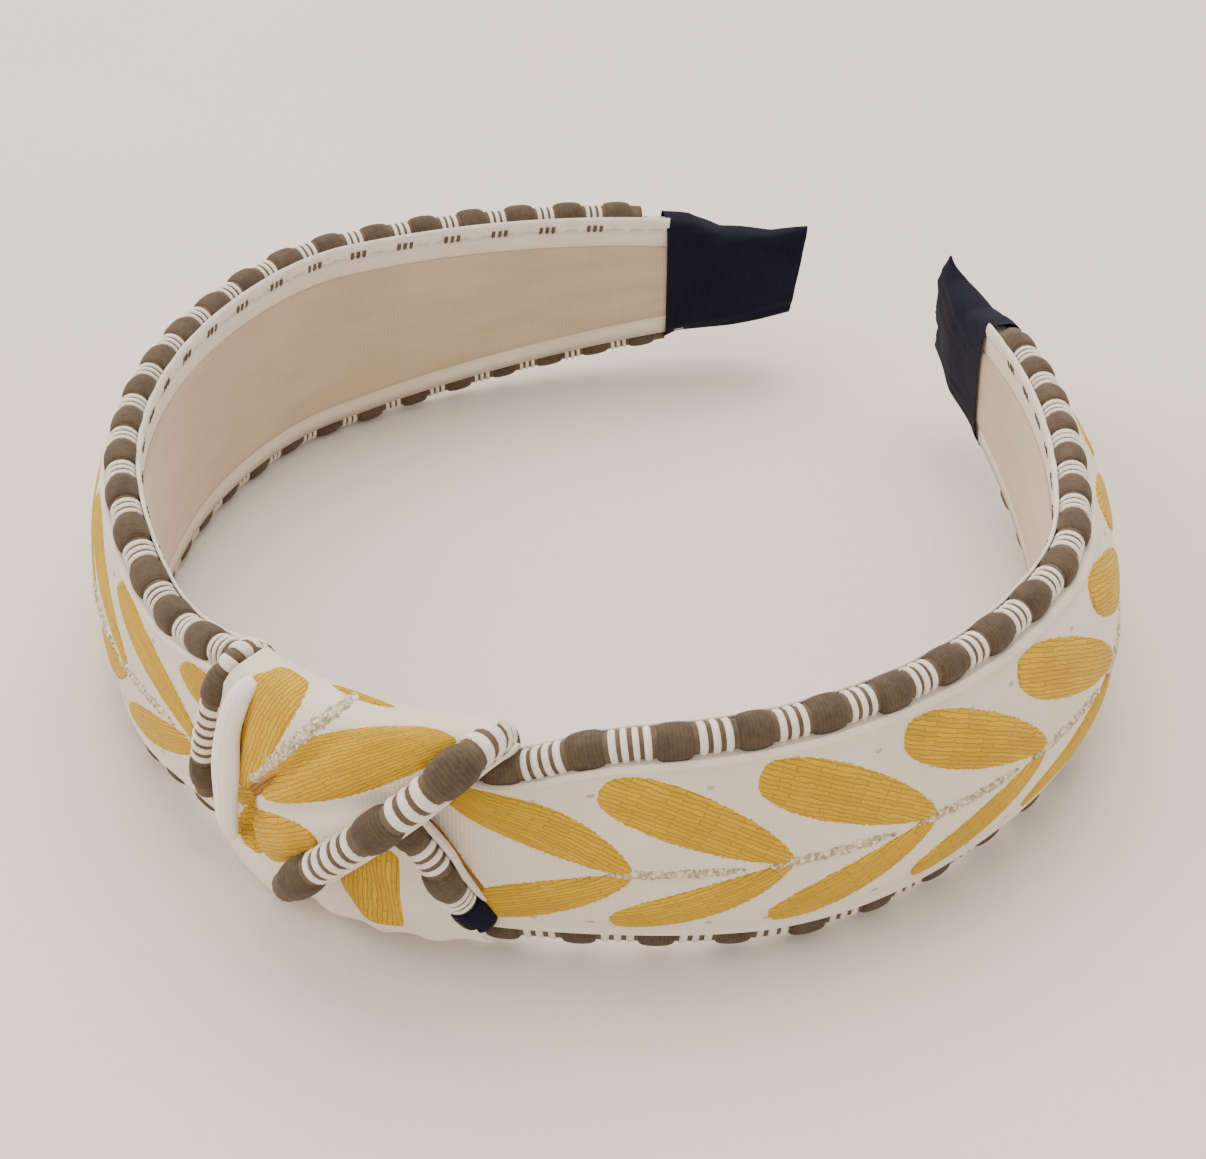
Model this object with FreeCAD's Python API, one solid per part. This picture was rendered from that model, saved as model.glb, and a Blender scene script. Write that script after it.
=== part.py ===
import FreeCAD, Part
import math
import os

# Knotted hair band, lying on its lower edge.
# Frame: +Z up, the wearer's crown at -Y, the open tips at +Y, -X the left arm, +X the right arm.
# All sizes are millimetres. "Run" is the distance along the band's centreline from the crown centre,
# negative on the left arm. "Offset" is the distance outwards from that centreline.

# Plan of the centreline: one tangent arc after another, the same on both arms.
ARC_RADII = (67.0, 37.0, 145.0)
ARC_ANGLES = (94.0, 21.0, 31.0)

# Height of the band, between the centrelines of its two edge trims.
HALF_HEIGHT = 15.8
TAPER_RUN = 108.0
TAPER_SLOPE = 0.168
TAPER_REACH_SHARE = 0.667

# Layers through the band, as offsets from inside to outside.
COVER_INNER = -2.6
LINING_SEAT = -2.0
CORE_OUTER = -0.6
FOAM_OUTER = 1.9
COVER_OUTER = 2.6
TRIM_RADIUS = 2.3
LINING_MARGIN = 3.0
CORE_MARGIN = 1.4

# Tip covers: ribbon caps over the last stretch of each arm.
TIP_LENGTH = 18.0
TIP_SKIN = 0.7
TIP_PROUD = 0.5
TIP_END_WALL = 1.2
LAYERS_END_BACK = 0.4

# Flex lines: each arm bends from the crown about a vertical line.
FLEX_RUN = 64.0
FLEX_GAP = 1.0

# Knot: fabric crossed over the crown. Points are (run, offset, height).
KNOT_RUNS = (-14.5, 28.0)
KNOT_BULGE = 9.0
KNOT_BACK = -3.8
KNOT_BOTTOM = 0.4
KNOT_TOP = 38.0
DIAGONAL_OUTLINE = ((-4.0, -1.0), (-4.0, 1.5), (25.0, 37.5), (34.0, 45.0), (34.0, -1.0))
TUCK_RUNS = (-4.0, 27.5)
TUCK_BULGE = 5.5
TUCK_OUTLINE = ((-4.0, 0.4), (13.0, 20.0), (15.0, 17.0), (26.0, 4.0), (26.0, 0.4))
FOLD_RADIUS = 1.7
FOLD_PATH = ((-2.0, 6.2, 36.0), (-11.2, 6.6, 19.0), (-8.5, 6.6, 2.6))
KNOT_TRIM_RADIUS = 2.2
LEFT_TRIM_PATH = ((-6.5, 4.9, 37.6), (-15.2, 5.2, 20.0), (-12.5, 5.2, 3.0))
DIAGONAL_TRIM_PATH = ((-3.0, 8.6, 2.8), (12.5, 9.4, 20.6), (27.0, 5.6, 37.8))
SHORT_TRIM_PATH = ((14.5, 5.0, 16.5), (19.5, 5.0, 10.5), (27.0, 5.0, 4.2))
HIDDEN_TRIM_ENDS = (-9.0, 23.0)

CROSSING_RUNS = (-30.0, 40.0)
FRONT_BLOCK_Y = 10.0
FRONT_BLOCK_DEPTH = 40.0

PART_FOLDER = "parts"

mid_height = TRIM_RADIUS + HALF_HEIGHT
arc_lengths = [radius * math.radians(angle) for radius, angle in zip(ARC_RADII, ARC_ANGLES)]
tip_run = sum(arc_lengths)


def centreline(run, offset=0.0):
    """Plan point at a run and offset, as (x, y), with the crown centre at the origin."""
    heading = 0.0
    x = 0.0
    y = 0.0
    left = abs(run)
    for radius, length in zip(ARC_RADII, arc_lengths):
        step = min(left, length)
        turned = heading + step / radius
        x += radius * (math.sin(turned) - math.sin(heading))
        y += radius * (math.cos(heading) - math.cos(turned))
        heading = turned
        left -= step
    x += offset * math.sin(heading)
    y -= offset * math.cos(heading)
    return (x if run >= 0 else -x), y


def heading_at(run):
    """Direction of travel at a run on the right arm, in radians from +X."""
    heading = 0.0
    left = run
    for radius, length in zip(ARC_RADII, arc_lengths):
        step = min(left, length)
        heading += step / radius
        left -= step
    return heading


def spot(run, offset, height):
    x, y = centreline(run, offset)
    return FreeCAD.Vector(x, y, height)


def arc_breaks(start, end):
    """Runs from start to end, with the ends of the arcs that lie between them."""
    joins = [arc_lengths[0], arc_lengths[0] + arc_lengths[1]]
    inner = [run for join in joins for run in (join, -join) if start < run < end]
    return [start] + sorted(inner) + [end]


def plan_edges(start, end, offset, height):
    breaks = arc_breaks(start, end)
    edges = []
    for a, b in zip(breaks, breaks[1:]):
        points = [spot(run, offset, height) for run in (a, (a + b) / 2, b)]
        edges.append(Part.Arc(*points).toShape())
    return edges


def prism(start, end, inner, outer, bottom, top):
    """Upright curved slab between two runs, two offsets and two heights."""
    edges = plan_edges(start, end, outer, bottom) + plan_edges(start, end, inner, bottom)
    for run in (start, end):
        edges.append(Part.LineSegment(spot(run, inner, bottom), spot(run, outer, bottom)).toShape())
    wire = Part.Wire(Part.__sortEdges__(edges))
    return Part.Face(wire).extrude(FreeCAD.Vector(0, 0, top - bottom))


def taper_cutter(side, inset):
    """Wedges above and below one arm that leave it tapered towards its tip."""
    heading = heading_at(TAPER_RUN)
    corner = spot(TAPER_RUN, COVER_INNER, 0)
    forward = FreeCAD.Vector(math.cos(heading), math.sin(heading), 0)
    inward = FreeCAD.Vector(-math.sin(heading), math.cos(heading), 0)
    reach = HALF_HEIGHT / TAPER_SLOPE * TAPER_REACH_SHARE
    wedges = []
    for sign in (1, -1):
        edge_height = mid_height + sign * (HALF_HEIGHT + inset)
        drop = sign * TAPER_SLOPE * reach
        outline = [
            corner + FreeCAD.Vector(0, 0, edge_height),
            corner + inward * reach + FreeCAD.Vector(0, 0, edge_height - drop),
            corner + inward * reach + FreeCAD.Vector(0, 0, edge_height + sign),
            corner + FreeCAD.Vector(0, 0, edge_height + sign),
        ]
        face = Part.Face(Part.makePolygon(outline + outline[:1]))
        wedges.append(face.extrude(forward * tip_run))
    cutter = Part.makeCompound(wedges)
    if side < 0:
        cutter = cutter.mirror(FreeCAD.Vector(0, 0, 0), FreeCAD.Vector(1, 0, 0))
    return cutter


def slab(start, end, inner, outer, inset):
    """Curved slab that follows the band's tapered height, inset (or proud) at both edges."""
    half = HALF_HEIGHT + inset
    shape = prism(start, end, inner, outer, mid_height - half, mid_height + half)
    if end > TAPER_RUN:
        shape = shape.cut(taper_cutter(1, inset))
    if start < -TAPER_RUN:
        shape = shape.cut(taper_cutter(-1, inset))
    return single(shape)


def single(shape):
    """The shape's one solid."""
    return shape.Solids[0]


def core(start, end):
    """Moulded spring strip."""
    return slab(start, end, LINING_SEAT, CORE_OUTER, -TRIM_RADIUS - CORE_MARGIN)


def foam(start, end):
    """Padding between the strip and the front of the cover."""
    return slab(start, end, CORE_OUTER, FOAM_OUTER, -TRIM_RADIUS - CORE_MARGIN)


def cover(start, end):
    """Fabric: the whole front, turned over both edges on to the back."""
    body = slab(start, end, COVER_INNER, COVER_OUTER, -TRIM_RADIUS)
    filling = slab(start, end, LINING_SEAT, FOAM_OUTER, -TRIM_RADIUS - CORE_MARGIN)
    window = slab(start, end, COVER_INNER, LINING_SEAT, -TRIM_RADIUS - LINING_MARGIN)
    return single(body.cut(filling).cut(window))


def lining(start, end):
    """Satin strip glued over the back, between the turned edges of the cover."""
    return slab(start, end, COVER_INNER, LINING_SEAT, -TRIM_RADIUS - LINING_MARGIN)


def edge_trims(start, end):
    """Upper and lower beaded edge trims, as (upper, lower)."""
    body = slab(start, end, -TRIM_RADIUS, TRIM_RADIUS, TRIM_RADIUS)
    both = body.cut(slab(start, end, -TRIM_RADIUS, TRIM_RADIUS, -TRIM_RADIUS))
    lower, upper = sorted(both.Solids, key=lambda solid: solid.CenterOfMass.z)
    return upper, lower


def tip_cover(start, end):
    """Ribbon cap, hollow for the band that it covers and closed at the tip."""
    shell = slab(start, end, COVER_INNER - TIP_SKIN, COVER_OUTER + TIP_SKIN, TIP_PROUD)
    inside = (start, end - TIP_END_WALL) if end > 0 else (start + TIP_END_WALL, end)
    return single(shell.cut(slab(*inside, COVER_INNER, COVER_OUTER, -TRIM_RADIUS)))


def lens_block(runs, bulge, back, bottom, top):
    """Block on the crown, flush with the band at both runs and bulged in front between them."""
    left, right = runs
    middle = (left + right) / 2
    front = Part.Arc(
        spot(left, COVER_OUTER, bottom), spot(middle, bulge, bottom), spot(right, COVER_OUTER, bottom)
    ).toShape()
    edges = [front] + plan_edges(left, right, back, bottom)
    for run in runs:
        edges.append(Part.LineSegment(spot(run, COVER_OUTER, bottom), spot(run, back, bottom)).toShape())
    wire = Part.Wire(Part.__sortEdges__(edges))
    return Part.Face(wire).extrude(FreeCAD.Vector(0, 0, top - bottom))


def cord_along(path, radius):
    """Round piece that follows one arc through three (run, offset, height) points."""
    start, middle, end = [spot(*point) for point in path]
    arc = Part.Arc(start, middle, end)
    circle = Part.Wire(Part.Circle(start, arc.tangent(arc.FirstParameter)[0], radius).toShape())
    return single(Part.Wire(arc.toShape()).makePipeShell([circle], True, False))


def front_block(outline):
    """Block seen from the front as the outline of (x, height) points, reaching forward from the crown."""
    corners = [FreeCAD.Vector(x, FRONT_BLOCK_Y, height) for x, height in outline]
    face = Part.Face(Part.makePolygon(corners + corners[:1]))
    return face.extrude(FreeCAD.Vector(0, -FRONT_BLOCK_DEPTH, 0))


def cut_all(shape, tools):
    for tool in tools:
        shape = shape.cut(tool)
    return max(shape.Solids, key=lambda solid: solid.Volume)


def knot(band):
    """Crossed fabric, its folds and its edge trims, fitted round the band's own solids."""
    left_trim = cord_along(LEFT_TRIM_PATH, KNOT_TRIM_RADIUS)
    diagonal_trim = cord_along(DIAGONAL_TRIM_PATH, KNOT_TRIM_RADIUS)
    short_trim = cord_along(SHORT_TRIM_PATH, KNOT_TRIM_RADIUS)
    trims = [left_trim, diagonal_trim, short_trim]
    fold = cut_all(cord_along(FOLD_PATH, FOLD_RADIUS), trims + band)
    tuck_block = lens_block(TUCK_RUNS, TUCK_BULGE, FOAM_OUTER, KNOT_BOTTOM, KNOT_TOP)
    tuck = cut_all(tuck_block.common(front_block(TUCK_OUTLINE)), trims + band + [fold])
    wrap_block = lens_block(KNOT_RUNS, KNOT_BULGE, KNOT_BACK, KNOT_BOTTOM, KNOT_TOP)
    behind = prism(*CROSSING_RUNS, KNOT_BACK, 0.0, 0.0, KNOT_TOP)
    crossing = front_block(DIAGONAL_OUTLINE).cut(behind)
    wrap = cut_all(wrap_block, [crossing] + trims + band + [fold, tuck])
    return {
        "knot_trim_left": left_trim,
        "knot_trim_diagonal": diagonal_trim,
        "knot_trim_short": short_trim,
        "knot_fold": fold,
        "knot_tuck": tuck,
        "knot_wrap": wrap,
    }


def build():
    """Every node of the hair band, by name."""
    nodes = {}
    flex = FLEX_RUN - FLEX_GAP / 2
    arm = FLEX_RUN + FLEX_GAP / 2
    layers_end = tip_run - TIP_END_WALL - LAYERS_END_BACK
    trims_end = tip_run - TIP_LENGTH
    layers = {"core": core, "foam": foam, "cover": cover, "lining": lining}
    spans = {"crown": (-flex, flex), "left_arm": (-layers_end, -arm), "right_arm": (arm, layers_end)}
    for layer, make in layers.items():
        for place, span in spans.items():
            nodes[f"{layer}_{place}"] = make(*span)
    trim_spans = {
        "crown_left": (-flex, HIDDEN_TRIM_ENDS[0]),
        "crown_right": (HIDDEN_TRIM_ENDS[1], flex),
        "left_arm": (-trims_end, -arm),
        "right_arm": (arm, trims_end),
    }
    for place, span in trim_spans.items():
        nodes[f"upper_trim_{place}"], nodes[f"lower_trim_{place}"] = edge_trims(*span)
    nodes["tip_cover_left"] = tip_cover(-tip_run, -trims_end)
    nodes["tip_cover_right"] = tip_cover(trims_end, tip_run)
    crown_band = slab(-flex, flex, COVER_INNER, COVER_OUTER, -TRIM_RADIUS)
    crown_trims = [shape for name, shape in nodes.items() if "trim_crown" in name]
    nodes.update(knot([crown_band] + crown_trims))
    return nodes


def export(nodes):
    """Move the origin to the middle of the base and write one file per node."""
    box = Part.makeCompound(list(nodes.values())).optimalBoundingBox(False)
    shift = FreeCAD.Vector(-box.Center.x, -box.Center.y, -box.ZMin)
    os.makedirs(PART_FOLDER, exist_ok=True)
    for name, shape in nodes.items():
        shape.translate(shift)
        shape.exportStep(f"{PART_FOLDER}/{name}.step")
        print(f"{name}: {shape.Volume:.0f} mm3, valid {shape.isValid()}, solids {len(shape.Solids)}")
    flex_x, flex_y = centreline(FLEX_RUN, COVER_OUTER)
    print(f"shift {shift.x:.3f} {shift.y:.3f} {shift.z:.3f}")
    print(f"flex axis x {flex_x + shift.x:.3f} and {-flex_x + shift.x:.3f}, y {flex_y + shift.y:.3f}")
    print(f"size {box.XLength:.1f} x {box.YLength:.1f} x {box.ZLength:.1f}, tip run {tip_run:.2f}")


export(build())
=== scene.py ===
"""Knotted hair band: fabric, embroidery, beaded trims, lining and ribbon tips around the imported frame.

Lengths are millimetres until a mesh is made, which turns them into metres. "Run" is the distance along
the band's centreline from the crown centre, negative on the left arm; "offset" is the distance outwards
from that centreline; "rise" is the height above the band's mid-height.
"""
import math

import bmesh
import bpy
import numpy as np
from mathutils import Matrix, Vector


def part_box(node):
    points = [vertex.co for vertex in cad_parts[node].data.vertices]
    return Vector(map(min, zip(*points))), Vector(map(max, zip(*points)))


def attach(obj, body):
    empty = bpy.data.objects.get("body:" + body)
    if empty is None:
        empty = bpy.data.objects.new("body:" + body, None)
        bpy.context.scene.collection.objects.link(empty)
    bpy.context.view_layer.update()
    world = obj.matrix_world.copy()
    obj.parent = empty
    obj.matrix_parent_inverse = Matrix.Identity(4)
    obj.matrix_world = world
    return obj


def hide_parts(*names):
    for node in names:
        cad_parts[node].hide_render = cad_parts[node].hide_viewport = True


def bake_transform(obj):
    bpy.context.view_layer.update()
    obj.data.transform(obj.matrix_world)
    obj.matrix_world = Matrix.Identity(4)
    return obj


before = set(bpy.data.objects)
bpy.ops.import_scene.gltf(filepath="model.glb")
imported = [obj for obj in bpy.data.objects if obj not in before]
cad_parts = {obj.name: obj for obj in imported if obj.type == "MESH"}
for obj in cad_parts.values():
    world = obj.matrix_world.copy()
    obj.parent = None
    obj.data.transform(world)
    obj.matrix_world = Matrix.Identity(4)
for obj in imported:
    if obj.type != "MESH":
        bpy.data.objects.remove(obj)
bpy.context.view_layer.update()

MM = 0.001
CLOTH_UNIT = 0.1  # cloth maps are in centimetres

# Driving dimensions, the same as the frame's
ARC_RADII = (67.0, 37.0, 145.0)
ARC_ANGLES = (94.0, 21.0, 31.0)
HALF_HEIGHT = 15.8
TRIM_RADIUS = 2.3
TAPER_RUN = 108.0
TAPER_SLOPE = 0.168
COVER_OUTER = 2.6
COVER_INNER = -2.6
TIP_LENGTH = 18.0

ARC_LENGTHS = [radius * math.radians(angle) for radius, angle in zip(ARC_RADII, ARC_ANGLES)]
TIP_RUN = sum(ARC_LENGTHS)
TRIM_END = TIP_RUN - TIP_LENGTH - 2.5
MID_HEIGHT = TRIM_RADIUS + HALF_HEIGHT
CROWN_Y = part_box("cover_crown")[0][1] / MM + COVER_OUTER

# How far the band's bottom edge stands out beyond its top edge, at runs from tip to tip
LEAN_RUNS = (-202, -130, -100, -76, -50, -15, 15, 60, 110, 150, 175, 202)
LEANS = (0.3, 1.0, 0.8, 0.6, 1.6, 1.5, 0.0, 2.4, 2.8, 1.2, 0.8, 0.8)

# Dips of the band's top edge and rises of its bottom edge: run, width and depth
DIPS = ((-25.0, 15.0, 3.8), (26.0, 10.0, 5.0))
RISES = ((-17.0, 13.0, 4.0), (40.0, 22.0, 2.6), (92.0, 20.0, 1.6))

# Where the bend of each arm starts and ends
BEND_START = {"left": -24.0, "right": 32.0}
BEND_END = {"left": -102.0, "right": 102.0}
HALVES = {"left": -1.0, "right": 1.0}
HALF_JOIN_RUN = 6.0


# ---- geometry of the band

def centreline(run):
    """Plan point and heading at each run, for an array of runs."""
    left = np.abs(np.asarray(run, float))
    heading = np.zeros_like(left)
    x = np.zeros_like(left)
    y = np.zeros_like(left)
    for radius, length in zip(ARC_RADII, ARC_LENGTHS):
        step = np.minimum(left, length)
        if radius == ARC_RADII[-1]:
            step = left
        turned = heading + step / radius
        x += radius * (np.sin(turned) - np.sin(heading))
        y += radius * (np.cos(heading) - np.cos(turned))
        heading = turned
        left = left - step
    side = np.where(np.asarray(run) < 0, -1.0, 1.0)
    return x * side, y, heading, side


def place(run, offset, rise):
    """Point of the band, in metres, at a run, offset and rise (arrays or numbers)."""
    run, offset, rise = np.broadcast_arrays(
        np.asarray(run, float), np.asarray(offset, float), np.asarray(rise, float)
    )
    offset = offset + np.interp(run, LEAN_RUNS, LEANS) * (0.5 - 0.5 * rise / HALF_HEIGHT)
    x, y, heading, side = centreline(run)
    x = x + side * offset * np.sin(heading)
    y = y - offset * np.cos(heading)
    return np.stack([x, y + CROWN_Y, MID_HEIGHT + rise], -1) * MM


def bells(run, shapes):
    """Sum of bell curves along the band, each with a centre run, a width and a depth."""
    run = np.asarray(run, float)
    return sum(depth * np.exp(-(((run - centre) / width) ** 2)) for centre, width, depth in shapes)


def band(run, offset, rise):
    """Point of the band itself, whose two edges are drawn together beside the knot."""
    share = np.asarray(rise, float) / HALF_HEIGHT
    dip = bells(run, DIPS) * np.clip(share, 0, 1.2) ** 1.5
    lift = bells(run, RISES) * np.clip(-share, 0, 1.2) ** 1.5
    return place(run, offset, rise - dip + lift)


def taper_frame():
    """Inner face's point where the taper starts, and the direction in which the band tapers."""
    x, y, heading, _ = centreline(TAPER_RUN)
    inward = np.array([-math.sin(heading), math.cos(heading)])
    return np.array([x, y]) - COVER_INNER * inward, inward


TAPER_CORNER, TAPER_INWARD = taper_frame()


def half_height(run):
    """Half of the distance between the two trims' centrelines."""
    x, y, _, _ = centreline(np.abs(run))
    depth = (x - TAPER_CORNER[0]) * TAPER_INWARD[0] + (y - TAPER_CORNER[1]) * TAPER_INWARD[1]
    return HALF_HEIGHT - TAPER_SLOPE * np.where(np.abs(run) > TAPER_RUN, np.maximum(depth, 0.0), 0.0)


def half_runs(side, start, end, step):
    """Evenly spaced runs from start to end on one side."""
    count = max(2, int(round((end - start) / step)) + 1)
    return HALVES[side] * np.linspace(start, end, count)


# ---- meshes

def mesh_object(name, vertices, faces, material, smooth=True):
    """New object with one material; its vertices are in metres."""
    mesh = bpy.data.meshes.new(name)
    mesh.from_pydata([tuple(v) for v in vertices], [], [tuple(f) for f in faces])
    mesh.validate()
    mesh.polygons.foreach_set("use_smooth", [smooth] * len(mesh.polygons))
    mesh.materials.append(material)
    obj = bpy.data.objects.new(name, mesh)
    bpy.context.collection.objects.link(obj)
    return obj


def grid_faces(rows, columns, close_columns, first):
    """Quads of a grid whose vertices are numbered row by row from first."""
    faces = []
    for i in range(rows - 1):
        for j in range(columns if close_columns else columns - 1):
            a = i * columns + j
            b = i * columns + (j + 1) % columns
            c = (i + 1) * columns + (j + 1) % columns
            d = (i + 1) * columns + j
            faces.append((first + a, first + b, first + c, first + d))
    return faces


class Builder:
    """Collects several grids into one mesh, with a cloth map in millimetres where one is given."""

    def __init__(self):
        self.points = []
        self.faces = []
        self.maps = []
        self.count = 0

    def grid(self, points, close_columns=False, caps=False, cloth=None, flip=False):
        """Add a grid of points; caps closes both end rows when True, or only the last one when "end"."""
        rows, columns = points.shape[:2]
        faces = grid_faces(rows, columns, close_columns, self.count)
        if caps is True:
            faces.append(tuple(range(self.count + columns - 1, self.count - 1, -1)))
        if caps:
            last = self.count + (rows - 1) * columns
            faces.append(tuple(range(last, last + columns)))
        if flip:
            faces = [tuple(reversed(face)) for face in faces]
        self.points.append(points.reshape(-1, 3))
        self.faces += faces
        self.maps.append(np.zeros((rows * columns, 2)) if cloth is None else cloth.reshape(-1, 2))
        self.count += rows * columns

    def make(self, name, material):
        obj = mesh_object(name, np.concatenate(self.points), self.faces, material)
        maps = np.concatenate(self.maps)
        loops = np.zeros(len(obj.data.loops), int)
        obj.data.loops.foreach_get("vertex_index", loops)
        layer = obj.data.uv_layers.new(name="cloth")
        layer.data.foreach_set("uv", (maps[loops] * CLOTH_UNIT).ravel())
        return obj


def turn_outwards(obj):
    """Turn the faces of closed shells outwards."""
    work = bmesh.new()
    work.from_mesh(obj.data)
    bmesh.ops.recalc_face_normals(work, faces=work.faces)
    work.to_mesh(obj.data)
    work.free()


def unit(vectors):
    return vectors / np.linalg.norm(vectors, axis=-1)[..., None]


def lengths_along(points):
    """Distance from the first point to each point of a polyline."""
    return np.concatenate([[0], np.cumsum(np.linalg.norm(np.diff(points, axis=0), axis=1))])


def cloth_map(along, across):
    """Cloth map from two arrays of lengths in millimetres."""
    return np.stack(np.broadcast_arrays(along, across), -1)


# ---- materials

def new_material(name, colour, roughness, sheen=0.0, specular=0.3, metallic=0.0):
    material = bpy.data.materials.new(name)
    material.use_nodes = True
    shader = material.node_tree.nodes["Principled BSDF"]
    shader.inputs["Base Color"].default_value = (*colour, 1.0)
    shader.inputs["Roughness"].default_value = roughness
    shader.inputs["Sheen Weight"].default_value = sheen
    shader.inputs["Sheen Roughness"].default_value = 0.5
    shader.inputs["Specular IOR Level"].default_value = specular
    shader.inputs["Metallic"].default_value = metallic
    return material


class Nodes:
    """Short calls for building one material's nodes."""

    def __init__(self, material):
        self.tree = material.node_tree
        self.shader = self.tree.nodes["Principled BSDF"]

    def add(self, kind, **values):
        node = self.tree.nodes.new(kind)
        for key, value in values.items():
            setattr(node, key, value)
        return node

    def link(self, source, target):
        self.tree.links.new(source, target)

    def cloth(self, scale=(1.0, 1.0)):
        """The piece's cloth map, in centimetres, scaled."""
        source = self.add("ShaderNodeUVMap", uv_map="cloth")
        mapping = self.add("ShaderNodeMapping")
        mapping.inputs["Scale"].default_value = (scale[0], scale[1], 1.0)
        self.link(source.outputs["UV"], mapping.inputs["Vector"])
        return mapping.outputs["Vector"]

    def object_space(self):
        """Position in metres, which doesn't stretch with the cloth map."""
        return self.add("ShaderNodeTexCoord").outputs["Object"]

    def noise(self, vector, scale, detail=3.0, roughness=0.55):
        node = self.add("ShaderNodeTexNoise")
        node.inputs["Scale"].default_value = scale
        node.inputs["Detail"].default_value = detail
        node.inputs["Roughness"].default_value = roughness
        self.link(vector, node.inputs["Vector"])
        return node.outputs["Fac"]

    def bands(self, vector, per_cm, direction, distortion=0.0, detail=1.0, detail_scale=1.0):
        """Parallel bands, so many to a centimetre."""
        node = self.add("ShaderNodeTexWave", wave_type="BANDS", bands_direction=direction)
        node.inputs["Scale"].default_value = per_cm * math.pi / 10
        node.inputs["Distortion"].default_value = distortion
        node.inputs["Detail"].default_value = detail
        node.inputs["Detail Scale"].default_value = detail_scale
        self.link(vector, node.inputs["Vector"])
        return node.outputs["Fac"]

    def math(self, operation, a, b):
        node = self.add("ShaderNodeMath", operation=operation)
        for socket, value in zip(node.inputs, (a, b)):
            if isinstance(value, (int, float)):
                socket.default_value = value
            else:
                self.link(value, socket)
        return node.outputs[0]

    def sum_of(self, a, a_share, b, b_share):
        return self.math("ADD", self.math("MULTIPLY", a, a_share), self.math("MULTIPLY", b, b_share))

    def ramp(self, factor, stops):
        node = self.add("ShaderNodeValToRGB")
        while len(node.color_ramp.elements) < len(stops):
            node.color_ramp.elements.new(0.5)
        for element, (position, colour) in zip(node.color_ramp.elements, stops):
            element.position = position
            element.color = (*colour, 1.0)
        self.link(factor, node.inputs["Fac"])
        return node.outputs["Color"]

    def mix(self, factor, a, b, blend="MIX"):
        node = self.add("ShaderNodeMix", data_type="RGBA", blend_type=blend)
        for socket, value in ((node.inputs[0], factor), (node.inputs[6], a), (node.inputs[7], b)):
            if isinstance(value, (int, float)):
                socket.default_value = value
            elif isinstance(value, tuple):
                socket.default_value = (*value, 1.0)
            else:
                self.link(value, socket)
        return node.outputs[2]

    def colour(self, output):
        self.link(output, self.shader.inputs["Base Color"])

    def roughness(self, output):
        self.link(output, self.shader.inputs["Roughness"])

    def bump(self, height, strength, distance):
        node = self.add("ShaderNodeBump")
        node.inputs["Strength"].default_value = strength
        node.inputs["Distance"].default_value = distance
        self.link(height, node.inputs["Height"])
        self.link(node.outputs["Normal"], self.shader.inputs["Normal"])


def linen_material(name, light, dark, threads_per_cm=19.0, bump=0.5):
    """Plain weave with slubs: two crossed thread waves and a slow colour drift."""
    material = new_material(name, light, 0.9, sheen=0.15, specular=0.2)
    nodes = Nodes(material)
    vector = nodes.cloth()
    warp = nodes.bands(vector, threads_per_cm, "X", distortion=0.6, detail=2.0, detail_scale=2.0)
    weft = nodes.bands(vector, threads_per_cm, "Y", distortion=0.6, detail=2.0, detail_scale=2.0)
    slub = nodes.noise(nodes.cloth((2.0, 14.0)), 1.0, 4.0)
    weave = nodes.sum_of(warp, 0.5, weft, 0.5)
    height = nodes.math("ADD", weave, nodes.math("MULTIPLY", slub, 0.6))
    drift = nodes.noise(nodes.object_space(), 45.0, 3.0)
    shade = nodes.sum_of(height, 0.22, drift, 0.68)
    nodes.colour(nodes.ramp(shade, [(0.25, dark), (0.75, light)]))
    nodes.bump(height, bump, 0.0001)
    return material


def satin_stitch_material(name, light, middle, dark):
    """Yarn laid along the leaf in short, staggered stitches, each a slightly different shade."""
    material = new_material(name, middle, 0.6, sheen=0.04, specular=0.2)
    nodes = Nodes(material)
    vector = nodes.cloth()
    drift = nodes.add("ShaderNodeTexNoise")
    drift.inputs["Scale"].default_value = 7.0
    nodes.link(vector, drift.inputs["Vector"])
    bent = nodes.add("ShaderNodeVectorMath", operation="MULTIPLY_ADD")
    bent.inputs[1].default_value = (0.10, 0.055, 0.0)
    nodes.link(drift.outputs["Color"], bent.inputs[0])
    nodes.link(vector, bent.inputs[2])
    stitches = nodes.add("ShaderNodeTexBrick", offset=0.37, squash=1.0)
    for key, colour in (("Color1", light), ("Color2", middle), ("Mortar", dark)):
        stitches.inputs[key].default_value = (*colour, 1.0)
    for key, value in (("Scale", 1.0), ("Mortar Size", 0.008), ("Mortar Smooth", 1.0), ("Bias", 0.0),
                       ("Brick Width", 0.46), ("Row Height", 0.055)):
        stitches.inputs[key].default_value = value
    nodes.link(bent.outputs[0], stitches.inputs["Vector"])
    strands = nodes.bands(nodes.cloth((0.4, 1.0)), 45.0, "Y", distortion=1.5, detail=2.0)
    mottle = nodes.noise(nodes.object_space(), 160.0, 3.0)
    shade = nodes.sum_of(strands, 0.35, mottle, 0.65)
    tint = nodes.ramp(shade, [(0.3, (0.80, 0.77, 0.72)), (0.7, (1.0, 1.0, 1.0))])
    nodes.colour(nodes.mix(1.0, stitches.outputs["Color"], tint, "MULTIPLY"))
    groove = nodes.math("SUBTRACT", 1.0, stitches.outputs["Fac"])
    nodes.bump(nodes.math("ADD", groove, nodes.math("MULTIPLY", strands, 0.25)), 0.6, 0.00028)
    return material


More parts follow.
